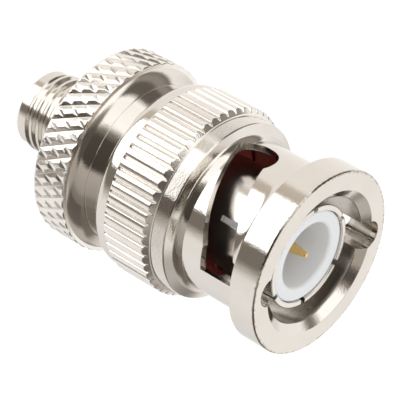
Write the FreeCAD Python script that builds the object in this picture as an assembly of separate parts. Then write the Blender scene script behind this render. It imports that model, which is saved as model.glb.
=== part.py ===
import FreeCAD, Part
import math
import os

from FreeCAD import Vector

# Coaxial adapter, threaded jack at the bottom and bayonet plug at the top.
# All sizes are in millimetres. The axis is +Z, and the origin is the centre of the jack's end face.
# Angles are in degrees, counter-clockwise seen from the mouth of the plug.

# Threaded jack
thread_radius = 3.16
thread_depth = 0.3
thread_pitch = 0.7056
thread_root_width = 0.12
thread_flank_angle = 30.0
thread_lead_in = 0.17
thread_relief = 0.45
thread_phase = 210.0
barrel_length = 6.4
pilot_radius = 3.0
pilot_length = 0.85
pilot_chamfer = 0.12
jack_recess_radius = 2.3
jack_recess_depth = 1.95
jack_insulator_radius = 2.05
jack_recess_chamfer = 0.12

# Knurled flange of the jack body
flange_radius = 7.62
flange_width = 3.05
flange_front_chamfer = 0.36
flange_rear_chamfer = 0.22
diamond_count = 43
diamond_helix_angle = 28.5
diamond_depth = 0.32
diamond_phase = 6.65

# Flare and collar between the flange and the coupling nut
collar_radius = 6.36
collar_front_radius = 6.0
flare_length = 1.03
collar_length = 1.57
collar_edge_chamfer = 0.12
body_spigot_radius = 4.9
body_spigot_length = 2.4
body_bore_radius = 3.0

# Outer contact of the plug: spigot, neck, flange and slotted sleeve in one turned piece
contact_spigot_radius = 3.98
contact_spigot_length = 1.9
contact_neck_radius = 4.12
contact_flange_radius = 4.86
contact_flange_width = 0.6
contact_sleeve_radius = 4.05
contact_wall = 0.43
contact_recess = 1.04
contact_rim_chamfer = 0.14
contact_slot_count = 6
contact_slot_width = 0.43
contact_slot_length = 5.46
contact_slot_phase = 39.0

# Coupling nut
nut_length = 15.3
nut_seat_gap = 0.05
nut_travel = 0.8
ring_radius = 7.15
ring_width = 2.25
ring_chamfer_radial = 0.12
ring_chamfer_axial = 0.15
neck_radius = 5.93
crease_length = 0.57
crease_radius = 6.32
shoulder_length = 0.29
shoulder_radius = 6.96
land_length = 1.18
land_radius = 7.04
knurl_length = 4.15
knurl_radius = 7.53
knurl_depth = 0.36
knurl_chamfer = 0.4
knurl_count = 52
knurl_phase = 5.6
knurl_crest_share = 0.3
knurl_root_share = 0.16
rear_band_radius = 7.36
rear_band_length = 0.45
rear_round_length = 0.9
rear_edge_radius = 7.05
nut_bore_radius = 4.95
mouth_radius = 5.66
mouth_chamfer_depth = 0.5
nut_rim_thickness = 1.1
nut_rim_clearance = 0.08
nut_relief_radius = 5.4
nut_relief_depth = 4.9
nut_relief_slope = 0.4
nut_relief_spare = 0.25

# Bayonet entries and cam slots, depths counted from the mouth of the coupling nut
bayonet_count = 2
bayonet_angle = 309.5
entry_channel_radius = 1.1
entry_channel_offset = 5.35
entry_depth = 6.0
ramp_width = 2.8
ramp_start_depth = 4.33
ramp_rise_per_degree = 0.0285
ramp_turn = 83.5
detent_radius = 1.6
detent_turn = 87.0
detent_depth = 6.55
cut_margin = 0.8

# Springs, washer and gasket
washer_thickness = 0.3
washer_gap = 0.02
washer_radial_clearance = 0.08
wave_sheet = 0.2
wave_spare_height = 0.07
wave_count = 3
wave_gap = 0.01
gasket_thickness = 1.0
gasket_bore_clearance = 0.02
gasket_rim_clearance = 0.1
washer_rim_clearance = 0.06

# Insulators
insulator_fit = 0.02
insulator_recess = 1.18
insulator_bore_radius = 2.55
insulator_bore_depth = 5.8
insulator_lip_round = 0.3
jack_insulator_recess = 0.02

# Centre conductor
pin_radius = 0.675
pin_tip_radius = 0.2
pin_tip_recess = 1.3
pin_taper_length = 3.2
pin_hole_fit = 0.01
pin_collar_radius = 1.25
pin_collar_length = 0.7
pin_tenon_radius = 0.42
pin_tenon_length = 1.4
socket_radius = 0.635
socket_bore_radius = 0.47
socket_bore_depth = 2.7
socket_recess = 0.05
socket_slot_count = 4
socket_slot_width = 0.2
socket_slot_length = 2.1
socket_end_chamfer = 0.1
socket_collar_radius = 1.25
socket_collar_length = 0.7
contact_joint_gap = 0.02

# Depths from the mouth of the coupling nut, worked out from the sizes above
band_end = nut_length - rear_round_length
knurl_end = band_end - rear_band_length
knurl_start = knurl_end - knurl_length
shoulder_depth = knurl_start - land_length
crease_depth = shoulder_depth - shoulder_length
neck_end = crease_depth - crease_length

# Heights along the axis and radii, worked out from the sizes above
neck_fillet = ring_radius - neck_radius
wave_height = wave_sheet + nut_travel / 2 + wave_spare_height
flange_rear_z = barrel_length
flange_front_z = flange_rear_z + flange_width
flare_top_z = flange_front_z + flare_length
collar_top_z = flare_top_z + collar_length
nut_rear_z = collar_top_z + nut_seat_gap
mouth_z = nut_rear_z + nut_length
nut_rim_top_z = nut_rear_z + nut_rim_thickness
washer_bottom_z = nut_rim_top_z + washer_gap
washer_top_z = washer_bottom_z + washer_thickness
wave_rear_z = washer_top_z + wave_gap
wave_front_z = wave_rear_z + wave_height + wave_gap
contact_flange_rear_z = wave_front_z + wave_height + wave_gap
contact_flange_front_z = contact_flange_rear_z + contact_flange_width
nut_relief_rear_z = contact_flange_front_z - nut_travel - nut_relief_spare
contact_bottom_z = collar_top_z - contact_spigot_length
contact_rim_z = mouth_z - contact_recess
body_spigot_z = flare_top_z - body_spigot_length
contact_bore_radius = contact_sleeve_radius - contact_wall
nut_rim_bore_radius = contact_neck_radius + nut_rim_clearance
insulator_rim_z = mouth_z - insulator_recess
insulator_floor_z = insulator_rim_z - insulator_bore_depth
jack_floor_z = jack_recess_depth
jack_head_top_z = contact_bottom_z - contact_joint_gap
pin_hole_radius = pin_radius + pin_hole_fit
pin_collar_z = contact_bottom_z
pin_tip_z = mouth_z - pin_tip_recess
socket_collar_bottom_z = jack_head_top_z - socket_collar_length
socket_end_z = jack_floor_z + socket_recess


def wire_of(points):
    """A closed outline in the plane of the axis, of points (radius, z). A pair is an arc's middle and end."""
    edges = []
    last = None
    first = None
    for item in points:
        if isinstance(item[0], tuple):
            middle = Vector(item[0][0], 0, item[0][1])
            end = Vector(item[1][0], 0, item[1][1])
            edges.append(Part.Arc(last, middle, end).toShape())
        else:
            end = Vector(item[0], 0, item[1])
            if last is not None:
                edges.append(Part.LineSegment(last, end).toShape())
        if first is None:
            first = end
        last = end
    edges.append(Part.LineSegment(last, first).toShape())
    return Part.Wire(edges)


def turned(points):
    """A solid turned about the axis from its outline."""
    face = Part.Face(wire_of(points))
    return face.revolve(Vector(0, 0, 0), Vector(0, 0, 1), 360)


def rod(radius, low, high):
    """A round bar along the axis."""
    return Part.makeCylinder(radius, high - low, Vector(0, 0, low))


def turn(shape, degrees):
    """A copy of a shape, turned about the axis."""
    copy = shape.copy()
    copy.rotate(Vector(0, 0, 0), Vector(0, 0, 1), degrees)
    return copy


def around(shape, count, phase):
    """Copies of a shape, spread evenly about the axis."""
    return [turn(shape, phase + i * 360.0 / count) for i in range(count)]


def polar(radius, degrees, height):
    """A point from its radius, angle and height."""
    angle = math.radians(degrees)
    return Vector(radius * math.cos(angle), radius * math.sin(angle), height)


def slit(width, outer, low, high):
    """A straight slot from the axis outwards along +X."""
    return Part.makeBox(outer, width, high - low, Vector(0, -width / 2, low))


def save(shape, name):
    """Checks a piece and writes it to its own file."""
    solid = shape.removeSplitter()
    if not solid.isValid() or len(solid.Solids) != 1:
        raise ValueError(name + " is not one sound solid")
    solid.Solids[0].exportStep("parts/" + name + ".step")


def triangle(a, b, c):
    """A flat face with three corners."""
    return Part.Face(Part.makePolygon([a, b, c, a]))


def diamond_prism():
    """The knurl's pyramids all round the flange, as a closed solid that is longer than the flange."""
    pitch = 360.0 / diamond_count
    arc_pitch = math.radians(pitch) * flange_radius
    row_height = arc_pitch / 2 / math.tan(math.radians(diamond_helix_angle))
    rows = int(math.ceil(flange_width / row_height)) + 1
    bottom = (flange_rear_z + flange_front_z - rows * row_height) / 2
    root = flange_radius - diamond_depth

    def point(row, half_step, radius):
        return polar(radius, diamond_phase + half_step * pitch / 2, bottom + row * row_height)

    faces = []
    for row in range(rows):
        for step in range(diamond_count):
            low_top = 2 * step + row % 2
            high_top = low_top + 1
            top_a = point(row, low_top, flange_radius)
            root_a = point(row, low_top + 1, root)
            root_before = point(row, low_top - 1, root)
            root_above = point(row + 1, low_top, root)
            top_above = point(row + 1, high_top, flange_radius)
            root_after = point(row + 1, high_top + 1, root)
            faces.append(triangle(root_before, top_a, root_above))
            faces.append(triangle(top_a, root_a, root_above))
            faces.append(triangle(root_a, top_above, root_above))
            faces.append(triangle(root_a, root_after, top_above))
    for row in (0, rows):
        rim = []
        for half_step in range(2 * diamond_count):
            radius = flange_radius if (half_step + row) % 2 == 0 else root
            rim.append(point(row, half_step, radius))
        faces.append(Part.Face(Part.makePolygon(rim + [rim[0]])))
    shell = Part.makeShell(faces)
    return Part.makeSolid(shell)


def thread_groove():
    """The groove between the thread's turns, as one long coil."""
    start = pilot_length + thread_lead_in
    path = Part.makeHelix(thread_pitch, barrel_length - thread_relief - start, thread_radius)
    root = thread_radius - thread_depth
    outer = thread_radius + cut_margin / 10
    half_root = thread_root_width / 2
    half_outer = half_root + (outer - root) * math.tan(math.radians(thread_flank_angle))
    section = Part.makePolygon([
        Vector(root, 0, -half_root),
        Vector(outer, 0, -half_outer),
        Vector(outer, 0, half_outer),
        Vector(root, 0, half_root),
        Vector(root, 0, -half_root),
    ])
    groove = Part.Wire(path).makePipeShell([section], True, True)
    groove.translate(Vector(0, 0, start))
    return turn(groove, thread_phase)


def make_jack_body():
    """Threaded barrel, knurled flange and flare, turned in one piece."""
    front_edge = flange_radius - flange_front_chamfer
    rear_edge = flange_radius - flange_rear_chamfer
    blank = turned([
        (0, flange_rear_z),
        (rear_edge, flange_rear_z),
        (flange_radius, flange_rear_z + flange_rear_chamfer),
        (flange_radius, flange_front_z - flange_front_chamfer),
        (front_edge, flange_front_z),
        (0, flange_front_z),
    ])
    flange = blank.common(diamond_prism())
    flare_middle_r = collar_radius + (front_edge - collar_radius) * 0.36
    flare_middle_z = flange_front_z + flare_length * 0.45
    flare = turned([
        (0, flange_front_z),
        (front_edge, flange_front_z),
        ((flare_middle_r, flare_middle_z), (collar_radius, flare_top_z)),
        (0, flare_top_z),
    ])
    barrel = turned([
        (0, 0),
        (pilot_radius - pilot_chamfer, 0),
        (pilot_radius, pilot_chamfer),
        (pilot_radius, pilot_length),
        (thread_radius, pilot_length + thread_radius - pilot_radius),
        (thread_radius, flange_rear_z),
        (0, flange_rear_z),
    ])
    body = flange.fuse([flare, barrel.cut(thread_groove())])
    hollow = turned([
        (0, 0),
        (jack_recess_radius + jack_recess_chamfer, 0),
        (jack_recess_radius, jack_recess_chamfer),
        (jack_recess_radius, jack_recess_depth),
        (jack_insulator_radius, jack_recess_depth),
        (jack_insulator_radius, body_spigot_z),
        (body_spigot_radius, body_spigot_z),
        (body_spigot_radius, flare_top_z),
        (0, flare_top_z),
    ])
    return body.cut(hollow)


def make_plug_body():
    """Collar with a spigot that is pressed into the jack body."""
    return turned([
        (body_bore_radius, body_spigot_z),
        (body_spigot_radius, body_spigot_z),
        (body_spigot_radius, flare_top_z),
        (collar_radius, flare_top_z),
        (collar_front_radius, collar_top_z - collar_edge_chamfer),
        (collar_front_radius - collar_edge_chamfer, collar_top_z),
        (contact_spigot_radius, collar_top_z),
        (contact_spigot_radius, contact_bottom_z),
        (body_bore_radius, contact_bottom_z),
    ])


def make_outer_contact():
    """Sprung sleeve with its flange, slotted from the rim."""
    sleeve = turned([
        (contact_bore_radius, contact_bottom_z),
        (contact_spigot_radius, contact_bottom_z),
        (contact_spigot_radius, collar_top_z),
        (contact_neck_radius, collar_top_z),
        (contact_neck_radius, contact_flange_rear_z),
        (contact_flange_radius, contact_flange_rear_z),
        (contact_flange_radius, contact_flange_front_z),
        (contact_sleeve_radius, contact_flange_front_z),
        (contact_sleeve_radius, contact_rim_z - contact_rim_chamfer),
        (contact_sleeve_radius - contact_rim_chamfer, contact_rim_z),
        (contact_bore_radius, contact_rim_z),
    ])
    cutter = slit(contact_slot_width, ring_radius, contact_rim_z - contact_slot_length, mouth_z)
    return sleeve.cut(around(cutter, contact_slot_count, contact_slot_phase))


def nut_depth(depth):
    """Height of a place that is counted from the mouth of the nut."""
    return mouth_z - depth


def knurled_bar():
    """A bar with the nut's straight ridges, as long as the ridges are."""
    pitch = 360.0 / knurl_count
    root = knurl_radius - knurl_depth
    crest = pitch * knurl_crest_share / 2
    valley = pitch * (1 - knurl_root_share) / 2
    low = nut_depth(knurl_end)
    corners = []
    for i in range(knurl_count):
        centre = knurl_phase + i * pitch
        corners.append(polar(root, centre - valley, low))
        corners.append(polar(knurl_radius, centre - crest, low))
        corners.append(polar(knurl_radius, centre + crest, low))
        corners.append(polar(root, centre + valley, low))
    face = Part.Face(Part.makePolygon(corners + [corners[0]]))
    return face.extrude(Vector(0, 0, knurl_end - knurl_start))


def cam_cutter():
    """One bayonet entry with its cam slot and detent, at angle zero of the entry."""
    inner = contact_sleeve_radius + cut_margin / 2
    outer = knurl_radius + cut_margin
    entry = Part.makeCylinder(
        entry_channel_radius,
        entry_depth + cut_margin,
        Vector(entry_channel_offset, 0, nut_depth(entry_depth)),
    )
    rise = ramp_rise_per_degree * ramp_turn
    path = Part.makeHelix(ramp_rise_per_degree * 360, rise, neck_radius)
    half = ramp_width / 2
    section = Part.makePolygon([
        Vector(inner, 0, -half),
        Vector(outer, 0, -half),
        Vector(outer, 0, half),
        Vector(inner, 0, half),
        Vector(inner, 0, -half),
    ])
    ramp = Part.Wire(path).makePipeShell([section], True, True)
    ramp = turn(ramp, -ramp_turn)
    ramp.translate(Vector(0, 0, nut_depth(ramp_start_depth) - rise))
    detent = Part.makeCylinder(
        detent_radius,
        outer - inner,
        Vector(inner, 0, nut_depth(detent_depth)),
        Vector(1, 0, 0),
    )
    return entry.fuse([ramp, turn(detent, -detent_turn)])


def make_coupling_nut():
    """Coupling nut with a knurled grip, a neck with two cam slots and a front ring."""
    fillet_side = neck_fillet * (1 - math.sqrt(0.5))
    fillet_start = ring_width + neck_fillet
    band_middle_z = nut_depth((band_end + nut_length) / 2)
    band_middle_r = (rear_band_radius + rear_edge_radius) / 2 + rear_round_length * 0.09
    crease_middle_z = nut_depth((neck_end + crease_depth) / 2)
    crease_middle_r = neck_radius + (crease_radius - neck_radius) * 0.27
    ridge_root = knurl_radius - knurl_depth
    shell = turned([
        (nut_rim_bore_radius, nut_rear_z),
        (rear_edge_radius, nut_rear_z),
        ((band_middle_r, band_middle_z), (rear_band_radius, nut_depth(band_end))),
        (rear_band_radius, nut_depth(knurl_end)),
        (ridge_root - knurl_depth, nut_depth(knurl_end)),
        (ridge_root - knurl_depth, nut_depth(knurl_start)),
        (land_radius, nut_depth(knurl_start)),
        (shoulder_radius, nut_depth(shoulder_depth)),
        (crease_radius, nut_depth(crease_depth)),
        ((crease_middle_r, crease_middle_z), (neck_radius, nut_depth(neck_end))),
        (neck_radius, nut_depth(fillet_start)),
        ((neck_radius + fillet_side, nut_depth(ring_width + fillet_side)),
         (ring_radius, nut_depth(ring_width))),
        (ring_radius, nut_depth(ring_chamfer_axial)),
        (ring_radius - ring_chamfer_radial, mouth_z),
        (mouth_radius, mouth_z),
        (nut_bore_radius, nut_depth(mouth_chamfer_depth)),
        (nut_bore_radius, nut_depth(nut_relief_depth - nut_relief_slope)),
        (nut_relief_radius, nut_depth(nut_relief_depth)),
        (nut_relief_radius, nut_relief_rear_z),
        (nut_bore_radius, nut_relief_rear_z),
        (nut_bore_radius, nut_rim_top_z),
        (nut_rim_bore_radius, nut_rim_top_z),
    ])
    grip_root = knurl_radius - knurl_depth * 2
    grip_blank = turned([
        (grip_root, nut_depth(knurl_end)),
        (knurl_radius, nut_depth(knurl_end)),
        (knurl_radius, nut_depth(knurl_start + knurl_chamfer)),
        (knurl_radius - knurl_chamfer, nut_depth(knurl_start)),
        (grip_root, nut_depth(knurl_start)),
    ])
    nut = shell.fuse(grip_blank.common(knurled_bar()))
    return nut.cut(around(cam_cutter(), bayonet_count, bayonet_angle))


def make_gasket():
    """Soft ring that the mating jack presses on."""
    low = contact_flange_front_z
    high = low + gasket_thickness
    outer = rod(nut_relief_radius - gasket_rim_clearance, low, high)
    return outer.cut(rod(contact_sleeve_radius + gasket_bore_clearance, low, high))


def make_thrust_washer():
    """Flat washer on the inner rim of the coupling nut."""
    outer = rod(nut_bore_radius - washer_radial_clearance, washer_bottom_z, washer_top_z)
    return outer.cut(rod(nut_rim_bore_radius, washer_bottom_z, washer_top_z))


def make_wave_washer(low, phase):
    """Sprung washer whose sheet rises and falls evenly round its circle."""
    inner = nut_rim_bore_radius
    outer = contact_flange_radius - washer_rim_clearance
    swing = (wave_height - wave_sheet) / 2
    samples = 12 * wave_count

    def ring(radius, lift):
        points = []
        for i in range(samples):
            degrees = i * 360.0 / samples
            wave = swing * (1 + math.sin(math.radians(wave_count * degrees + phase)))
            points.append(polar(radius, degrees, low + wave + lift))
        curve = Part.BSplineCurve()
        curve.interpolate(Points=points, PeriodicFlag=True)
        return curve.toShape()

    inner_low = ring(inner, 0)
    outer_low = ring(outer, 0)
    inner_high = ring(inner, wave_sheet)
    outer_high = ring(outer, wave_sheet)
    faces = [
        Part.makeRuledSurface(inner_low, outer_low),
        Part.makeRuledSurface(inner_high, outer_high),
        Part.makeRuledSurface(inner_low, inner_high),
        Part.makeRuledSurface(outer_low, outer_high),
    ]
    shell = Part.makeShell(faces)
    shell.sewShape()
    solid = Part.makeSolid(shell.Shells[0])
    if solid.Volume < 0:
        solid.reverse()
    return solid


def make_plug_insulator():
    """Sleeve of the plug's insulator, closed at the back round the pin."""
    outer = contact_bore_radius - insulator_fit
    bore_edge = insulator_bore_radius + insulator_lip_round
    lip_side = insulator_lip_round * (1 - math.sqrt(0.5))
    body = turned([
        (pin_hole_radius, contact_bottom_z),
        (outer, contact_bottom_z),
        (outer, insulator_rim_z),
        (bore_edge, insulator_rim_z),
        ((insulator_bore_radius + lip_side, insulator_rim_z - lip_side),
         (insulator_bore_radius, insulator_rim_z - insulator_lip_round)),
        (insulator_bore_radius, insulator_floor_z),
        (pin_hole_radius, insulator_floor_z),
    ])
    seat_top = pin_collar_z + pin_collar_length + pin_hole_fit
    seat = rod(pin_collar_radius + pin_hole_fit, pin_collar_z, seat_top)
    return body.cut(seat)


def make_jack_insulator():
    """Insulator of the jack, with a head that is held between the two bodies."""
    hole = socket_radius + pin_hole_fit
    low = jack_floor_z + jack_insulator_recess
    seat = socket_collar_radius + pin_hole_fit
    seat_z = socket_collar_bottom_z - pin_hole_fit
    return turned([
        (hole, low),
        (jack_insulator_radius - insulator_fit, low),
        (jack_insulator_radius - insulator_fit, body_spigot_z),
        (body_bore_radius - insulator_fit, body_spigot_z),
        (body_bore_radius - insulator_fit, jack_head_top_z),
        (seat, jack_head_top_z),
        (seat, seat_z),
        (hole, seat_z),
    ])


def make_plug_pin():
    """Pin of the plug, with a collar and a tenon at its back."""
    tenon_z = pin_collar_z - pin_tenon_length
    return turned([
        (0, tenon_z),
        (pin_tenon_radius, tenon_z),
        (pin_tenon_radius, pin_collar_z),
        (pin_collar_radius, pin_collar_z),
        (pin_collar_radius, pin_collar_z + pin_collar_length),
        (pin_radius, pin_collar_z + pin_collar_length),
        (pin_radius, pin_tip_z - pin_taper_length),
        (pin_tip_radius, pin_tip_z),
        (0, pin_tip_z),
    ])


def make_jack_socket():
    """Slotted socket of the jack, which the pin's tenon is pressed into."""
    body = turned([
        (socket_bore_radius, socket_end_z),
        (socket_radius - socket_end_chamfer, socket_end_z),
        (socket_radius, socket_end_z + socket_end_chamfer),
        (socket_radius, socket_collar_bottom_z),
        (socket_collar_radius, socket_collar_bottom_z),
        (socket_collar_radius, jack_head_top_z),
        (0, jack_head_top_z),
        (0, socket_end_z + socket_bore_depth),
        (socket_bore_radius, socket_end_z + socket_bore_depth),
    ])
    tenon_hole = rod(
        pin_tenon_radius + pin_hole_fit,
        pin_collar_z - pin_tenon_length - contact_joint_gap,
        pin_collar_z,
    )
    cutter = slit(socket_slot_width, jack_insulator_radius, socket_end_z, socket_end_z + socket_slot_length)
    return body.cut([tenon_hole] + around(cutter, socket_slot_count, 0))


os.makedirs("parts", exist_ok=True)
save(make_jack_body(), "jack_body")
save(make_plug_body(), "plug_body")
save(make_outer_contact(), "outer_contact")
save(make_coupling_nut(), "coupling_nut")
save(make_gasket(), "gasket")
save(make_thrust_washer(), "thrust_washer")
save(make_wave_washer(wave_rear_z, 0), "wave_washer_rear")
save(make_wave_washer(wave_front_z, 180), "wave_washer_front")
save(make_plug_insulator(), "plug_insulator")
save(make_jack_insulator(), "jack_insulator")
save(make_plug_pin(), "plug_pin")
save(make_jack_socket(), "jack_socket")
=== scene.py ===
import math
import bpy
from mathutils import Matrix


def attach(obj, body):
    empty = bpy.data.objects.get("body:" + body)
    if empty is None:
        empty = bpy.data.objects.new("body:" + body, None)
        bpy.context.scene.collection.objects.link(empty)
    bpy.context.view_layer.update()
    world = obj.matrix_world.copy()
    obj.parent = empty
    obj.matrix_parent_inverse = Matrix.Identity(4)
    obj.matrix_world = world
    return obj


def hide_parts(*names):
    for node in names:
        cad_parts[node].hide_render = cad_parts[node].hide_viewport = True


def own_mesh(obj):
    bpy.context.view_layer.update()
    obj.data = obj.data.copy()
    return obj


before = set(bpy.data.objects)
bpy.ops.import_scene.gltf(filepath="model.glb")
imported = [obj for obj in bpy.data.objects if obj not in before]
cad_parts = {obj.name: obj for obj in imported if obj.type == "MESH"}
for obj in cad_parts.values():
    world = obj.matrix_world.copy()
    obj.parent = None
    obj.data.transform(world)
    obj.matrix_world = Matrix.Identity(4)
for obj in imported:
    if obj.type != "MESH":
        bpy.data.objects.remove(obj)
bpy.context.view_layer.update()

from types import SimpleNamespace

import bmesh
import bpy
from bpy.props import FloatProperty, FloatVectorProperty, IntProperty, PointerProperty
from mathutils import Matrix, Vector

bl_info = {
    "name": "Coaxial Adapter",
    "version": (1, 0, 0),
    "blender": (4, 5, 0),
    "location": "3D View > Sidebar > Adapter",
    "description": "Dresses a threaded jack to bayonet plug adapter with its detailed pieces and finishes",
    "category": "Object",
}

MM = 1000.0
SHARP_ANGLE = math.radians(32)


# Sizes and colours

def length(name, description, default):
    """A length property. The default is in millimetres."""
    return FloatProperty(name=name, description=description, default=default / MM, unit="LENGTH", precision=6)


def angle(name, description, default):
    """An angle property. The default is in degrees."""
    return FloatProperty(
        name=name, description=description, default=math.radians(default), subtype="ANGLE", unit="ROTATION"
    )


def colour(name, description, default):
    """A linear colour property."""
    return FloatVectorProperty(
        name=name, description=description, default=default, subtype="COLOR", size=3, min=0.0, max=1.0
    )


class JackSizes(bpy.types.PropertyGroup):
    """Threaded barrel, knurled flange and flare"""

    thread_radius: length("Thread Radius", "Crest radius of the thread", 3.16)
    thread_depth: length("Thread Depth", "Depth of the thread", 0.3)
    thread_show: length("Thread Rounding", "Depth to the rounded root of the thread", 0.23)
    thread_pitch: length("Thread Pitch", "Rise of the thread in one turn", 0.7056)
    thread_lead_in: length("Lead In", "Height above the plain end at which the groove starts", 0.17)
    thread_phase: angle("Thread Phase", "Place round the axis at which the groove starts", 210.0)
    relief_length: length("Relief", "Plain length between the thread and the flange", 0.3)
    pilot_radius: length("Pilot Radius", "Radius of the plain front end", 3.0)
    pilot_length: length("Pilot Length", "Length of the plain front end", 0.85)
    recess_radius: length("Recess Radius", "Radius of the hollow in the jack", 2.3)
    recess_depth: length("Recess Depth", "Depth of the hollow in the jack", 1.95)
    insulator_radius: length("Insulator Bore", "Radius of the insulator's bore", 2.05)
    flange_rear: length("Flange Rear", "Height of the flange's rear face", 6.4)
    flange_front: length("Flange Front", "Height of the flange's front edge", 9.45)
    flange_radius: length("Flange Radius", "Crest radius of the diamond knurl", 7.62)
    front_chamfer: length("Front Chamfer", "Chamfer at the flange's front edge", 0.36)
    edge_break: length("Edge Break", "Small chamfer on the knurl's front ends", 0.07)
    rear_chamfer: length("Rear Chamfer", "Chamfer at the flange's rear edge", 0.16)
    diamond_depth: length("Diamond Depth", "Depth of the knurl's long grooves", 0.12)
    cross_depth: length("Cross Depth", "Depth of the grooves that cross them", 0.08)
    diamond_count: IntProperty(name="Diamonds", description="Diamonds round the flange", default=43, min=8)
    diamond_rows: IntProperty(name="Diamond Rows", description="Half diamonds across the flange", default=3, min=1)
    diamond_phase: angle("Diamond Phase", "Turn of the diamond knurl about the axis", 6.65)
    flare_top: length("Flare Top", "Height at which the flare meets the collar", 10.48)
    flare_radius: length("Flare Radius", "Radius at which the flare meets the collar", 6.36)
    spigot_radius: length("Spigot Radius", "Radius of the hollow behind the flare", 4.9)
    spigot_floor: length("Spigot Floor", "Height of that hollow's floor", 8.08)


class CollarSizes(bpy.types.PropertyGroup):
    """Plain collar between the flare and the coupling nut"""

    radius: length("Radius", "Outer radius of the collar at the flare", 6.36)
    front_radius: length("Front Radius", "Outer radius of the collar at the nut", 6.0)
    bottom: length("Bottom", "Height of the joint with the flare", 10.48)
    top: length("Top", "Height of the collar's front face", 12.05)
    spigot_radius: length("Spigot Radius", "Radius of the spigot in the jack body", 4.9)
    spigot_bottom: length("Spigot Bottom", "Height of the spigot's end", 8.08)
    bore_radius: length("Bore Radius", "Bore for the jack's insulator", 3.0)
    seat_radius: length("Seat Radius", "Bore for the outer contact", 3.98)
    seat_bottom: length("Seat Bottom", "Height of that bore's floor", 10.15)


class ContactSizes(bpy.types.PropertyGroup):
    """Slotted outer contact of the plug"""

    bore_radius: length("Bore Radius", "Inner radius of the sleeve", 3.62)
    spigot_radius: length("Spigot Radius", "Radius of the end in the collar", 3.98)
    neck_radius: length("Neck Radius", "Radius that the nut turns on", 4.12)
    sleeve_radius: length("Sleeve Radius", "Outer radius of the slotted sleeve", 4.05)
    bottom: length("Bottom", "Height of the spigot's end", 10.15)
    neck_bottom: length("Neck Bottom", "Height of the neck's start", 12.05)
    flange_radius: length("Flange Radius", "Radius of the flange that holds the nut", 4.86)
    flange_bottom: length("Flange Bottom", "Height of the flange's rear face", 14.89)
    flange_top: length("Flange Top", "Height of the flange's front face", 15.49)
    rim: length("Rim", "Height of the sleeve's rim", 26.36)
    slot_width: length("Slot Width", "Width of a slot in the sleeve", 0.43)
    slot_length: length("Slot Length", "Length of a slot from the rim", 5.46)
    slot_count: IntProperty(name="Slots", description="Slots round the sleeve", default=6, min=2)
    slot_phase: angle("Slot Phase", "Turn of the slots about the axis", 39.0)


class NutSizes(bpy.types.PropertyGroup):
    """Coupling nut with its knurl and cam slots, depths counted from its mouth"""

    rear: length("Rear", "Height of the nut's rear face", 12.1)
    mouth: length("Mouth", "Height of the nut's mouth", 27.4)
    ring_radius: length("Ring Radius", "Radius of the front ring", 7.15)
    ring_width: length("Ring Width", "Width of the front ring", 2.25)
    ring_chamfer: length("Ring Chamfer", "Radial size of the ring's front chamfer", 0.07)
    ring_chamfer_depth: length("Ring Chamfer Depth", "Axial size of the ring's front chamfer", 0.09)
    neck_radius: length("Neck Radius", "Radius of the neck with the cam slots", 5.93)
    neck_fillet: length("Neck Fillet", "Fillet between the neck and the ring", 1.22)
    neck_end: length("Neck End", "Depth at which the neck ends", 7.76)
    crease_depth: length("Crease Depth", "Depth of the crease before the shoulder", 8.33)
    crease_radius: length("Crease Radius", "Radius of that crease", 6.32)
    shoulder_depth: length("Shoulder Depth", "Depth of the shoulder's edge", 8.62)
    shoulder_radius: length("Shoulder Radius", "Radius of the shoulder's edge", 6.96)
    land_radius: length("Land Radius", "Radius of the plain land before the knurl", 7.04)
    knurl_start: length("Knurl Start", "Depth at which the knurl starts", 9.8)
    knurl_end: length("Knurl End", "Depth at which the knurl ends", 13.95)
    knurl_radius: length("Knurl Radius", "Crest radius of the straight knurl", 7.53)
    knurl_depth: length("Knurl Depth", "Depth of the straight knurl", 0.3)
    knurl_chamfer: length("Knurl Chamfer", "Length of the pointed ridge fronts", 0.4)
    knurl_count: IntProperty(name="Ridges", description="Ridges round the nut", default=52, min=8)
    knurl_phase: angle("Knurl Phase", "Turn of the ridges about the axis", 5.6)
    band_radius: length("Band Radius", "Radius of the smooth band behind the knurl", 7.36)
    band_end: length("Band End", "Depth at which the band starts to round off", 14.4)
    rear_edge_radius: length("Rear Edge Radius", "Radius of the nut's rear edge", 7.05)
    bore_radius: length("Bore Radius", "Inner radius of the nut", 4.95)
    relief_radius: length("Relief Radius", "Radius of the relief behind the bore", 5.4)
    relief_depth: length("Relief Depth", "Depth at which the relief reaches its full radius", 4.9)
    relief_slope: length("Relief Slope", "Length of the cone in front of the relief", 0.4)
    relief_rear: length("Relief Rear", "Height of the relief's rear end", 14.44)
    mouth_radius: length("Mouth Radius", "Radius of the mouth's wide end", 5.66)
    mouth_chamfer: length("Mouth Chamfer", "Depth of the mouth's chamfer", 0.5)
    rim_thickness: length("Rim Thickness", "Thickness of the nut's inner rim", 1.1)
    rim_radius: length("Rim Radius", "Inner radius of that rim", 4.2)
    entry_angle: angle("Entry Angle", "Place of the first bayonet entry", 309.5)
    entry_radius: length("Entry Radius", "Radius of the entry channel", 1.2)
    entry_offset: length("Entry Offset", "Distance of the entry channel from the axis", 5.25)
    entry_depth: length("Entry Depth", "Depth of the entry channel", 6.0)
    ramp_width: length("Ramp Width", "Width of the cam slot along the axis", 2.8)
    ramp_start: length("Ramp Start", "Depth of the cam slot's middle at the entry", 4.33)
    ramp_rise: length("Ramp Rise", "Depth that the cam slot gains on its way", 2.38)
    ramp_turn: angle("Ramp Turn", "Angle that the cam slot goes round", 83.5)
    detent_radius: length("Detent Radius", "Radius of the cam slot's round end", 1.6)
    detent_turn: angle("Detent Turn", "Angle from the entry to the round end", 87.0)
    detent_depth: length("Detent Depth", "Depth of the round end's centre", 6.55)


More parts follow.
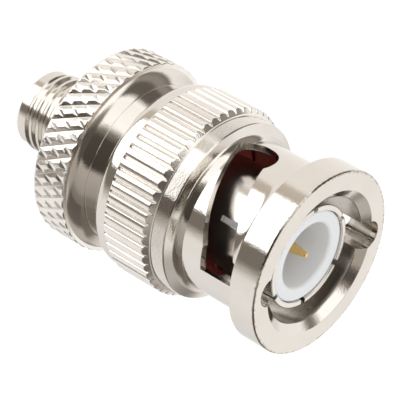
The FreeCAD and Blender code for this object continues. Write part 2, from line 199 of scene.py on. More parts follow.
class InnerSizes(bpy.types.PropertyGroup):
    """Gasket, insulators, pin and socket"""

    gasket_radius: length("Gasket Radius", "Outer radius of the gasket", 5.3)
    gasket_bore: length("Gasket Bore", "Inner radius of the gasket", 4.07)
    gasket_bottom: length("Gasket Bottom", "Height of the gasket's rear face", 15.49)
    gasket_top: length("Gasket Top", "Height of the gasket's front face", 16.49)
    insulator_radius: length("Insulator Radius", "Outer radius of the plug's insulator", 3.6)
    insulator_bore: length("Insulator Bore", "Inner radius of the plug's insulator", 2.55)
    insulator_bottom: length("Insulator Bottom", "Height of the plug insulator's rear face", 10.15)
    insulator_floor: length("Insulator Floor", "Height of the plug insulator's floor", 20.42)
    insulator_rim: length("Insulator Rim", "Height of the plug insulator's rim", 26.22)
    jack_face: length("Jack Insulator Face", "Height of the jack insulator's face", 1.97)
    jack_radius: length("Jack Insulator Radius", "Outer radius of the jack's insulator", 2.03)
    jack_head_radius: length("Jack Head Radius", "Radius of the jack insulator's head", 2.98)
    jack_head_bottom: length("Jack Head Bottom", "Height of that head's rear face", 8.08)
    jack_head_top: length("Jack Head Top", "Height of that head's front face", 10.13)
    pin_radius: length("Pin Radius", "Radius of the plug's pin", 0.675)
    pin_tip_radius: length("Pin Tip Radius", "Radius of the pin's flat tip", 0.2)
    pin_tip: length("Pin Tip", "Height of the pin's tip", 26.1)
    pin_taper: length("Pin Taper", "Length of the pin's taper", 3.2)
    pin_collar: length("Pin Collar", "Height of the pin collar's rear face", 10.15)
    collar_radius: length("Collar Radius", "Radius of the collars on pin and socket", 1.25)
    collar_length: length("Collar Length", "Length of those collars", 0.7)
    socket_radius: length("Socket Radius", "Outer radius of the jack's socket", 0.635)
    socket_bore: length("Socket Bore", "Inner radius of the jack's socket", 0.47)
    socket_bottom: length("Socket Bottom", "Height of the socket's end", 2.0)
    socket_depth: length("Socket Depth", "Depth of the socket's bore", 2.7)
    socket_slot: length("Socket Slot", "Width of a slot in the socket", 0.2)
    socket_slot_length: length("Socket Slot Length", "Length of a slot in the socket", 2.1)


class WasherSizes(bpy.types.PropertyGroup):
    """Thrust washer and wave washers inside the coupling nut"""

    bore_radius: length("Bore Radius", "Inner radius of all three washers", 4.2)
    thrust_radius: length("Thrust Radius", "Outer radius of the flat thrust washer", 4.87)
    thrust_bottom: length("Thrust Bottom", "Height of the thrust washer's rear face", 13.22)
    thrust_top: length("Thrust Top", "Height of the thrust washer's front face", 13.52)
    wave_radius: length("Wave Radius", "Outer radius of the wave washers", 4.8)
    wave_sheet: length("Wave Sheet", "Thickness of a wave washer's sheet", 0.2)
    wave_height: length("Wave Height", "Height over which a wave washer rises and falls", 0.67)
    rear_bottom: length("Rear Wave", "Height of the rear wave washer's lowest point", 13.53)
    front_bottom: length("Front Wave", "Height of the front wave washer's lowest point", 14.21)
    wave_count: IntProperty(name="Waves", description="Waves round each wave washer", default=3, min=2)
    stop: length("Stop", "Height of the flange that the wave washers push against", 14.89)
    travel: length("Travel", "Way that the washers give when the nut is drawn forward", 0.8)


class FinishColours(bpy.types.PropertyGroup):
    """Colours of the finishes"""

    nickel_nut: colour("Nut Nickel", "Bright nickel of the coupling nut", (0.81, 0.775, 0.725))
    nickel_plate: colour("Body Nickel", "Nickel of the jack body and the collar", (0.80, 0.76, 0.705))
    # Painted light: the knurls' nickel is lighter than the other nickel so that both knurls look brighter.
    nickel_knurl: colour("Knurl Nickel", "Nickel of both knurls", (0.94, 0.905, 0.855))
    nickel_contact: colour("Contact Nickel", "Nickel of the outer contact", (0.84, 0.81, 0.765))
    # This darker colour is real tone for dull patches, pits and chipped rim specks, and painted shade in the nut's
    # bore and entry channels.
    tarnish: colour("Tarnish", "Darker tone in the hollows of the plating", (0.50, 0.45, 0.39))
    gold: colour("Gold", "Gold of the pin and the socket", (1.0, 0.70, 0.27))
    insulator: colour("Insulator", "White of the insulators", (0.88, 0.89, 0.90))
    silicone: colour("Silicone", "Red of the gasket", (0.72, 0.085, 0.065))
    steel: colour("Spring Steel", "Grey of the washers", (0.60, 0.59, 0.575))


class StageSettings(bpy.types.PropertyGroup):
    """Camera, floor and light"""

    elevation: angle("Elevation", "Height of the camera above the floor, as an angle", 31.802)
    roll: angle("Roll", "Turn of the camera about its view", 119.619)
    distance: length("Distance", "Distance of the camera from the point it looks at", 173.851)
    aim_x: length("Aim X", "Sideways place of the point that the camera looks at", 0.309)
    aim_z: length("Aim Z", "Height of the point that the camera looks at", 16.156)
    lens: FloatProperty(
        name="Lens", description="Focal length", default=215.607, min=20, max=400, subtype="DISTANCE_CAMERA"
    )
    floor_size: length("Floor Size", "Side of the square floor", 4000.0)
    floor_colour: colour("Floor Colour", "Colour of the floor", (0.9, 0.9, 0.9))
    room_light: FloatProperty(name="Room Light", description="Strength of the light all round", default=0.95, min=0)


# Mesh tools, all in millimetres

def in_millimetres(group):
    """The values of a property group by name, lengths in millimetres."""
    values = {}
    for prop in group.bl_rna.properties:
        if prop.identifier in ("rna_type", "name"):
            continue
        value = getattr(group, prop.identifier)
        if prop.type == "FLOAT" and prop.unit == "LENGTH":
            value *= MM
        values[prop.identifier] = value
    return SimpleNamespace(**values)


def arc(start, middle, end, steps):
    """Points on the circle through three points, without the start."""
    a, b, c = Vector(start), Vector(middle), Vector(end)
    ab, ac = b - a, c - a
    cross = 2 * (ab.x * ac.y - ab.y * ac.x)
    centre = a + Vector((
        ac.y * ab.length_squared - ab.y * ac.length_squared,
        ab.x * ac.length_squared - ac.x * ab.length_squared,
    )) / cross
    first = math.atan2(a.y - centre.y, a.x - centre.x)
    last = math.atan2(c.y - centre.y, c.x - centre.x)
    sweep = (last - first + math.pi) % (2 * math.pi) - math.pi
    radius = (a - centre).length
    points = []
    for step in range(1, steps + 1):
        turn = first + sweep * step / steps
        points.append((centre.x + radius * math.cos(turn), centre.y + radius * math.sin(turn)))
    return points


def corner(before, at, after, size, steps):
    """Points that round one corner of a profile."""
    back, on = before - at, after - at
    half = back.angle(on) / 2
    if math.pi / 2 - half < 0.02:
        return [at]
    reach = min(size / math.tan(half), back.length * 0.45, on.length * 0.45)
    radius = reach * math.tan(half)
    centre = at + (back.normalized() + on.normalized()).normalized() * (radius / math.sin(half))
    start = at + back.normalized() * reach - centre
    end = at + on.normalized() * reach - centre
    sweep = math.atan2(start.x * end.y - start.y * end.x, start.dot(end))
    return [centre + Matrix.Rotation(sweep * i / steps, 2) @ start for i in range(steps + 1)]


def rounded(profile, closed=True, steps=4, support=0.035):
    """A profile with rounded corners. A point is (radius, z) or (radius, z, rounding)."""
    count = len(profile)
    at = [Vector(point[:2]) for point in profile]
    points = []
    for i, point in enumerate(profile):
        size = point[2] if len(point) > 2 else 0
        inside = closed or 0 < i < count - 1
        if size and inside:
            points += corner(at[i - 1], at[i], at[(i + 1) % count], size, steps)
        else:
            points.append(at[i])
    result = []
    last = len(points) if closed else len(points) - 1
    for i in range(last):
        here, there = points[i], points[(i + 1) % len(points)]
        result.append(here)
        run = there - here
        if run.length > support * 4:
            result.append(here + run.normalized() * support)
            result.append(there - run.normalized() * support)
    if not closed:
        result.append(points[-1])
    return result


def add_turned(bm, profile, segments, closed=True):
    """Turns a profile about the axis and returns its faces."""
    rings = []
    for radius, z in profile:
        if radius < 1e-6:
            rings.append([bm.verts.new((0, 0, z))])
            continue
        ring = []
        for i in range(segments):
            turn = 2 * math.pi * i / segments
            ring.append(bm.verts.new((radius * math.cos(turn), radius * math.sin(turn), z)))
        rings.append(ring)
    pairs = list(zip(rings, rings[1:]))
    if closed:
        pairs.append((rings[-1], rings[0]))
    faces = []
    for low, high in pairs:
        if len(low) == 1 and len(high) == 1:
            continue
        for i in range(segments):
            j = (i + 1) % segments
            if len(low) == 1:
                faces.append(bm.faces.new((low[0], high[j], high[i])))
            elif len(high) == 1:
                faces.append(bm.faces.new((low[i], low[j], high[0])))
            else:
                faces.append(bm.faces.new((low[i], low[j], high[j], high[i])))
    bmesh.ops.recalc_face_normals(bm, faces=faces)
    return faces


def add_band(bm, columns, rows, place, split=None):
    """A sheet round the axis, outward side first. place(column, row) gives a point."""
    grid = [[bm.verts.new(place(i, k)) for i in range(columns)] for k in range(rows)]
    faces = []
    for k in range(rows - 1):
        for i in range(columns):
            j = (i + 1) % columns
            a, b, c, d = grid[k][i], grid[k][j], grid[k + 1][j], grid[k + 1][i]
            side = split(i, k) if split else None
            if side == "rising":
                faces += [bm.faces.new((a, b, c)), bm.faces.new((a, c, d))]
            elif side == "falling":
                faces += [bm.faces.new((a, b, d)), bm.faces.new((b, c, d))]
            else:
                faces.append(bm.faces.new((a, b, c, d)))
    return faces


def polar(radius, turn, z):
    """A point from its radius, angle and height."""
    return (radius * math.cos(turn), radius * math.sin(turn), z)


def add_rod(bm, radius, start, end, segments=48):
    """A closed round bar between two points."""
    start, end = Vector(start), Vector(end)
    along = (end - start).normalized()
    side = along.orthogonal().normalized()
    other = along.cross(side)
    rings = []
    for centre in (start, end):
        ring = []
        for i in range(segments):
            turn = 2 * math.pi * i / segments
            ring.append(bm.verts.new(centre + (side * math.cos(turn) + other * math.sin(turn)) * radius))
        rings.append(ring)
    for i in range(segments):
        j = (i + 1) % segments
        bm.faces.new((rings[0][i], rings[0][j], rings[1][j], rings[1][i]))
    bm.faces.new(list(reversed(rings[0])))
    bm.faces.new(rings[1])


def add_block(bm, low, high, turn):
    """A closed box between two corners, turned about the axis."""
    made = bmesh.ops.create_cube(bm, size=1)["verts"]
    middle = (Vector(low) + Vector(high)) / 2
    bmesh.ops.scale(bm, vec=Vector(high) - Vector(low), verts=made)
    bmesh.ops.translate(bm, vec=middle, verts=made)
    bmesh.ops.rotate(bm, cent=(0, 0, 0), matrix=Matrix.Rotation(turn, 3, "Z"), verts=made)


def cut(bm, makers):
    """Takes closed shapes away from a mesh. Each maker adds one shape to an empty mesh."""
    def as_object(source):
        mesh = bpy.data.meshes.new("shape")
        source.to_mesh(mesh)
        made = bpy.data.objects.new("shape", mesh)
        bpy.context.scene.collection.objects.link(made)
        return made

    blank = as_object(bm)
    cutters = []
    for maker in makers:
        shape = bmesh.new()
        maker(shape)
        bmesh.ops.recalc_face_normals(shape, faces=shape.faces)
        cutters.append(as_object(shape))
        shape.free()
        modifier = blank.modifiers.new("cut", "BOOLEAN")
        modifier.operation = "DIFFERENCE"
        modifier.solver = "EXACT"
        modifier.object = cutters[-1]
    graph = bpy.context.evaluated_depsgraph_get()
    result = bpy.data.meshes.new_from_object(blank.evaluated_get(graph))
    bm.clear()
    bm.from_mesh(result)
    bpy.data.meshes.remove(result)
    for made in [blank] + cutters:
        mesh = made.data
        bpy.data.objects.remove(made)
        bpy.data.meshes.remove(mesh)


def add_piece(name, bm, materials, body, slot, *nodes):
    """Makes an object of a mesh, rides it on its body and lets it stand for its nodes."""
    for face in bm.faces:
        face.smooth = True
    for edge in bm.edges:
        if len(edge.link_faces) == 2 and edge.calc_face_angle(0) > SHARP_ANGLE:
            edge.smooth = False
    bmesh.ops.scale(bm, vec=(1 / MM, 1 / MM, 1 / MM), verts=bm.verts)
    mesh = bpy.data.meshes.new(name)
    bm.to_mesh(mesh)
    bm.free()
    for material in materials if isinstance(materials, tuple) else (materials,):
        mesh.materials.append(material)
    piece = bpy.data.objects.new(name, mesh)
    bpy.context.scene.collection.objects.link(piece)
    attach(piece, body)
    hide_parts(*nodes)
    return piece


# Shader node groups and materials

class Tree:
    """Adds nodes to a node tree and links them."""

    def __init__(self, tree):
        self.tree = tree

    def add(self, kind, inputs=None, **settings):
        """A node with its settings. An input's value may be a socket, which is linked."""
        node = self.tree.nodes.new(kind)
        for key, value in settings.items():
            setattr(node, key, value)
        for key, value in (inputs or {}).items():
            if isinstance(value, bpy.types.NodeSocket):
                self.tree.links.new(value, node.inputs[key])
            else:
                node.inputs[key].default_value = value
        return node

    def maths(self, operation, *values):
        """The result of one maths node."""
        node = self.add("ShaderNodeMath", operation=operation)
        for i, value in enumerate(values):
            if isinstance(value, bpy.types.NodeSocket):
                self.tree.links.new(value, node.inputs[i])
            else:
                node.inputs[i].default_value = value
        return node.outputs[0]

    def spread(self, value, low, high, to_low, to_high, kind="LINEAR"):
        """A value moved from one range to another and kept in it."""
        node = self.add("ShaderNodeMapRange", interpolation_type=kind)
        for i, item in enumerate((value, low, high, to_low, to_high)):
            if isinstance(item, bpy.types.NodeSocket):
                self.tree.links.new(item, node.inputs[i])
            else:
                node.inputs[i].default_value = item
        return node.outputs[0]

    def mix(self, factor, first, second):
        """Two colours mixed by a factor."""
        node = self.add("ShaderNodeMix", data_type="RGBA")
        for i, item in ((0, factor), (6, first), (7, second)):
            if isinstance(item, bpy.types.NodeSocket):
                self.tree.links.new(item, node.inputs[i])
            elif i == 0:
                node.inputs[i].default_value = item
            else:
                node.inputs[i].default_value = (*item, 1)
        return node.outputs[2]


def effect_group(name, inputs, outputs):
    """A new node group with named number sockets, and its input and output nodes."""
    group = bpy.data.node_groups.new(name, "ShaderNodeTree")
    for socket, default in inputs:
        made = group.interface.new_socket(name=socket, in_out="INPUT", socket_type="NodeSocketFloat")
        made.default_value = default
    for socket in outputs:
        group.interface.new_socket(name=socket, in_out="OUTPUT", socket_type="NodeSocketFloat")
    tree = Tree(group)
    return group, tree, tree.add("NodeGroupInput"), tree.add("NodeGroupOutput")


def turning_marks():
    """Fine rings left by the lathe. They follow the radius and the height, as the tool did."""
    group, tree, given, out = effect_group(
        "Turning Marks", [("Rings Per Millimetre", 14.0), ("Unevenness", 0.5)], ["Height"]
    )
    place = tree.add("ShaderNodeTexCoord").outputs["Object"]
    parts = tree.add("ShaderNodeSeparateXYZ", {0: place})
    x, y, z = parts.outputs
    radius = tree.maths("SQRT", tree.maths("ADD", tree.maths("MULTIPLY", x, x), tree.maths("MULTIPLY", y, y)))
    scale = tree.maths("MULTIPLY", given.outputs["Rings Per Millimetre"], MM)
    across = tree.maths("MULTIPLY", radius, scale)
    along = tree.maths("MULTIPLY", z, scale)
    point = tree.add("ShaderNodeCombineXYZ", {0: across, 1: along, 2: 0.0})
    rings = tree.add(
        "ShaderNodeTexNoise", {"Vector": point.outputs[0], "Scale": 1.0, "Detail": 2.0, "Roughness": 0.6}
    )
    drift = tree.add(
        "ShaderNodeTexNoise", {"Vector": place, "Scale": 900.0, "Detail": 2.0, "Roughness": 0.5}
    )
    patch = tree.maths("MULTIPLY", drift.outputs["Fac"], given.outputs["Unevenness"])
    share = tree.maths("SUBTRACT", 1.0, patch)
    tree.tree.links.new(tree.maths("MULTIPLY", rings.outputs["Fac"], share), out.inputs["Height"])
    return group


def plating():
    """Slight waviness and grain of electroplated metal, with patches that are a little duller."""
    group, tree, given, out = effect_group(
        "Plating", [("Wave Size", 0.5), ("Grain Size", 0.06)], ["Height", "Patches", "Grain"]
    )
    place = tree.add("ShaderNodeTexCoord").outputs["Object"]
    wave_scale = tree.maths("DIVIDE", MM, given.outputs["Wave Size"])
    grain_scale = tree.maths("DIVIDE", MM, given.outputs["Grain Size"])
    wave = tree.add("ShaderNodeTexNoise", {"Vector": place, "Scale": wave_scale, "Detail": 3.0, "Roughness": 0.55})
    grain = tree.add("ShaderNodeTexNoise", {"Vector": place, "Scale": grain_scale, "Detail": 1.0})
    patch = tree.add("ShaderNodeTexNoise", {"Vector": place, "Scale": 350.0, "Detail": 4.0, "Roughness": 0.6})
    height = tree.maths("ADD", wave.outputs["Fac"], tree.maths("MULTIPLY", grain.outputs["Fac"], 1.0))
    tree.tree.links.new(height, out.inputs["Height"])
    tree.tree.links.new(tree.spread(patch.outputs["Fac"], 0.38, 0.68, 0.0, 1.0), out.inputs["Patches"])
    tree.tree.links.new(grain.outputs["Fac"], out.inputs["Grain"])
    return group


def specks():
    """Sparse tiny pits and grains of dust."""
    group, tree, given, out = effect_group("Specks", [("Spacing", 0.8), ("Size", 0.035)], ["Mask"])
    place = tree.add("ShaderNodeTexCoord").outputs["Object"]
    scale = tree.maths("DIVIDE", MM, given.outputs["Spacing"])
    cells = tree.add("ShaderNodeTexVoronoi", {"Vector": place, "Scale": scale, "Randomness": 1.0})
    size = tree.maths("DIVIDE", given.outputs["Size"], given.outputs["Spacing"])
    mask = tree.spread(cells.outputs["Distance"], tree.maths("MULTIPLY", size, 0.6), size, 1.0, 0.0)
    tree.tree.links.new(mask, out.inputs["Mask"])
    return group


def hollow_shade_mask():
    """One on the inner surfaces of a turned shell and in the channels of its ring, zero outside. It marks where
    painted shade darkens the nut.
    """
    group, tree, given, out = effect_group("Hollow Shade Mask", [
        ("Bore Radius", 5.4), ("Outer Radius", 5.8), ("Ring Start", 25.0), ("Ring End", 27.0)
    ], ["Mask"])
    place = tree.add("ShaderNodeTexCoord").outputs["Object"]
    x, y, z = tree.add("ShaderNodeSeparateXYZ", {0: place}).outputs
    radius = tree.maths("SQRT", tree.maths("ADD", tree.maths("MULTIPLY", x, x), tree.maths("MULTIPLY", y, y)))
    radius = tree.maths("MULTIPLY", radius, MM)
    height = tree.maths("MULTIPLY", z, MM)
    bore = tree.spread(radius, given.outputs["Bore Radius"], given.outputs["Outer Radius"], 1.0, 0.0)
    above = tree.maths("GREATER_THAN", height, given.outputs["Ring Start"])
    below = tree.maths("LESS_THAN", height, given.outputs["Ring End"])
    channels = tree.maths("MULTIPLY", above, tree.maths("LESS_THAN", radius, 6.8))
    mask = tree.maths("MULTIPLY", below, tree.maths("MAXIMUM", bore, channels))
    tree.tree.links.new(mask, out.inputs["Mask"])
    return group


def rim_wear():
    """Ragged specks along one turned edge, where the plating is chipped."""
    group, tree, given, out = effect_group("Rim Wear", [
        ("Rim Radius", 7.1), ("Rim Height", 27.4), ("Width", 0.12), ("Speck Size", 0.2)
    ], ["Mask"])
    place = tree.add("ShaderNodeTexCoord").outputs["Object"]
    x, y, z = tree.add("ShaderNodeSeparateXYZ", {0: place}).outputs
    radius = tree.maths("SQRT", tree.maths("ADD", tree.maths("MULTIPLY", x, x), tree.maths("MULTIPLY", y, y)))
    out_by = tree.maths("SUBTRACT", tree.maths("MULTIPLY", radius, MM), given.outputs["Rim Radius"])
    up_by = tree.maths("SUBTRACT", tree.maths("MULTIPLY", z, MM), given.outputs["Rim Height"])
    away = tree.maths("MAXIMUM", tree.maths("ABSOLUTE", out_by), tree.maths("ABSOLUTE", up_by))
    scale = tree.maths("DIVIDE", MM, given.outputs["Speck Size"])
    noise = tree.add("ShaderNodeTexNoise", {"Vector": place, "Scale": scale, "Detail": 3.0, "Roughness": 0.7})
    reach = tree.maths("MULTIPLY", given.outputs["Width"], tree.spread(noise.outputs["Fac"], 0.42, 0.64, 0.0, 1.0))
    tree.tree.links.new(tree.maths("LESS_THAN", away, reach), out.inputs["Mask"])
    return group


def effect(tree, maker, **inputs):
    """A node of one effect group, which is made the first time it is needed."""
    name = maker.__name__.replace("_", " ").title()
    group = bpy.data.node_groups.get(name) or maker()
    node = tree.add("ShaderNodeGroup", node_tree=group)
    for key, value in inputs.items():
        node.inputs[key.replace("_", " ").title()].default_value = value
    return node


def new_material(name):
    """An empty material with its output."""
    material = bpy.data.materials.new(name)
    material.use_nodes = True
    material.node_tree.nodes.clear()
    tree = Tree(material.node_tree)
    return material, tree, tree.add("ShaderNodeOutputMaterial")


def bump(tree, height, strength, distance, normal=None):
    """A bump from a height between zero and one. The distance is in millimetres."""
    inputs = {"Strength": strength, "Distance": distance / MM, "Height": height}
    if normal is not None:
        inputs["Normal"] = normal
    return tree.add("ShaderNodeBump", inputs).outputs[0]


def nickel(name, base, tarnish, gloss, marks, wave, hollow=None, rim=None):
    """Nickel plating. gloss is its roughness, marks and wave are heights in micrometres. hollow adds painted shade
    inside the nut, rim adds chipped specks at its mouth.
    """
    if name in bpy.data.materials:
        return bpy.data.materials[name]
    material, tree, out = new_material(name)
    lathe = effect(tree, turning_marks, rings_per_millimetre=12.0, unevenness=0.6)
    plate = effect(tree, plating, wave_size=0.6, grain_size=0.1)
    pits = effect(tree, specks, spacing=1.1, size=0.035)
    tone = tree.maths("MULTIPLY", plate.outputs["Patches"], 0.10)
    shade = tree.maths("ADD", tone, tree.maths("MULTIPLY", pits.outputs["Mask"], 0.5))
    if rim:
        worn = effect(tree, rim_wear, rim_radius=rim[0], rim_height=rim[1], width=0.2, speck_size=0.22)
        shade = tree.maths("ADD", shade, tree.maths("MULTIPLY", worn.outputs["Mask"], 0.9))
    rough = tree.maths("ADD", gloss, tree.maths("MULTIPLY", plate.outputs["Patches"], gloss * 0.5))
    rough = tree.maths("ADD", rough, tree.maths("MULTIPLY", pits.outputs["Mask"], 0.25))
    # Painted shade: the bore and the entry channels are mixed towards the darker colour, and made rougher.
    if hollow:
        bore, outer, start, end = hollow
        inner = effect(tree, hollow_shade_mask, bore_radius=bore, outer_radius=outer, ring_start=start, ring_end=end)
        shade = tree.maths("ADD", shade, tree.maths("MULTIPLY", inner.outputs["Mask"], 0.35))
        rough = tree.maths("ADD", rough, tree.maths("MULTIPLY", inner.outputs["Mask"], 0.18))
    edges = tree.add("ShaderNodeBevel", {"Radius": 0.05 / MM}, samples=6)
    surface = bump(tree, plate.outputs["Height"], 1.0, wave / MM, edges.outputs[0])
    surface = bump(tree, lathe.outputs["Height"], 1.0, marks / MM, surface)
    metal = tree.add("ShaderNodeBsdfPrincipled", {
        "Base Color": tree.mix(tree.maths("MINIMUM", shade, 1.0), base, tarnish),
        "Metallic": 1.0,
        "Roughness": rough,
        "Normal": surface,
    })
    tree.tree.links.new(metal.outputs[0], out.inputs[0])
    return material


def gold(base):
    """Gold plating with fine turning marks."""
    if "Gold Plate" in bpy.data.materials:
        return bpy.data.materials["Gold Plate"]
    material, tree, out = new_material("Gold Plate")
    lathe = effect(tree, turning_marks, rings_per_millimetre=16.0, unevenness=0.4)
    plate = effect(tree, plating, wave_size=0.3, grain_size=0.04)
    darker = [channel * 0.72 for channel in base]
    surface = bump(tree, plate.outputs["Height"], 1.0, 0.002)
    surface = bump(tree, lathe.outputs["Height"], 1.0, 0.0012, surface)
    metal = tree.add("ShaderNodeBsdfPrincipled", {
        "Base Color": tree.mix(tree.maths("MULTIPLY", plate.outputs["Patches"], 0.5), base, darker),
        "Metallic": 1.0,
        "Roughness": tree.spread(plate.outputs["Patches"], 0.0, 1.0, 0.20, 0.30),
        "Normal": surface,
    })
    tree.tree.links.new(metal.outputs[0], out.inputs[0])
    return material


def fluoropolymer(base):
    """White insulator, smooth and a little waxy, with faint turning marks."""
    if "Fluoropolymer" in bpy.data.materials:
        return bpy.data.materials["Fluoropolymer"]
    material, tree, out = new_material("Fluoropolymer")
    lathe = effect(tree, turning_marks, rings_per_millimetre=6.0, unevenness=0.5)
    plate = effect(tree, plating, wave_size=0.4, grain_size=0.08)
    dust = effect(tree, specks, spacing=1.5, size=0.075)
    shade = tree.maths("MULTIPLY", plate.outputs["Patches"], 0.25)
    cool = [channel * 0.93 for channel in base]
    clean = tree.mix(shade, base, cool)
    surface = bump(tree, lathe.outputs["Height"], 1.0, 0.004)
    surface = bump(tree, plate.outputs["Height"], 1.0, 0.003, surface)
    plastic = tree.add("ShaderNodeBsdfPrincipled", {
        "Base Color": tree.mix(tree.maths("MULTIPLY", dust.outputs["Mask"], 0.7), clean, (0.30, 0.27, 0.24)),
        "Roughness": tree.spread(plate.outputs["Grain"], 0.0, 1.0, 0.32, 0.48),
        "IOR": 1.36,
        "Subsurface Weight": 0.2,
        "Subsurface Radius": (0.5, 0.45, 0.4),
        "Subsurface Scale": 0.6 / MM,
        "Normal": surface,
    })
    tree.tree.links.new(plastic.outputs[0], out.inputs[0])
    return material


def silicone(base):
    """Red rubber of the gasket, softly glossy, with a dusty bloom."""
    if "Silicone" in bpy.data.materials:
        return bpy.data.materials["Silicone"]
    material, tree, out = new_material("Silicone")
    plate = effect(tree, plating, wave_size=0.35, grain_size=0.05)
    dust = effect(tree, specks, spacing=0.5, size=0.03)
    bloom = [channel + (1 - channel) * 0.22 for channel in base]
    clouds = tree.maths("MULTIPLY", plate.outputs["Patches"], 0.2)
    mask = tree.maths("ADD", clouds, tree.maths("MULTIPLY", dust.outputs["Mask"], 0.6))
    rubber = tree.add("ShaderNodeBsdfPrincipled", {
        "Base Color": tree.mix(tree.maths("MINIMUM", mask, 1.0), base, bloom),
        "Roughness": tree.spread(plate.outputs["Grain"], 0.0, 1.0, 0.34, 0.55),
        "Normal": bump(tree, plate.outputs["Height"], 1.0, 0.006),
    })
    tree.tree.links.new(rubber.outputs[0], out.inputs[0])
    return material


def spring_steel(base):
    """Stamped steel of the washers, brushed and slightly oiled."""
    if "Spring Steel" in bpy.data.materials:
        return bpy.data.materials["Spring Steel"]
    material, tree, out = new_material("Spring Steel")
    lathe = effect(tree, turning_marks, rings_per_millimetre=20.0, unevenness=0.3)
    plate = effect(tree, plating, wave_size=0.4, grain_size=0.05)
    darker = [channel * 0.7 for channel in base]
    metal = tree.add("ShaderNodeBsdfPrincipled", {
        "Base Color": tree.mix(tree.maths("MULTIPLY", plate.outputs["Patches"], 0.5), base, darker),
        "Metallic": 1.0,
        "Roughness": tree.spread(plate.outputs["Patches"], 0.0, 1.0, 0.24, 0.4),
        "Normal": bump(tree, lathe.outputs["Height"], 1.0, 0.003),
    })
    tree.tree.links.new(metal.outputs[0], out.inputs[0])
    return material


def body_nickel(colours):
    """Nickel of the jack body and the collar."""
    return nickel("Nickel Plate", colours.nickel_plate, colours.tarnish, 0.09, 0.35, 3.0)


def knurl_nickel(colours):
    """Nickel on the pressed knurls, a little duller than the turned faces, with a lighter colour that is painted
    light to brighten them.
    """
    return nickel("Nickel Knurl", colours.nickel_knurl, colours.tarnish, 0.17, 0.3, 6.0)


# Pieces

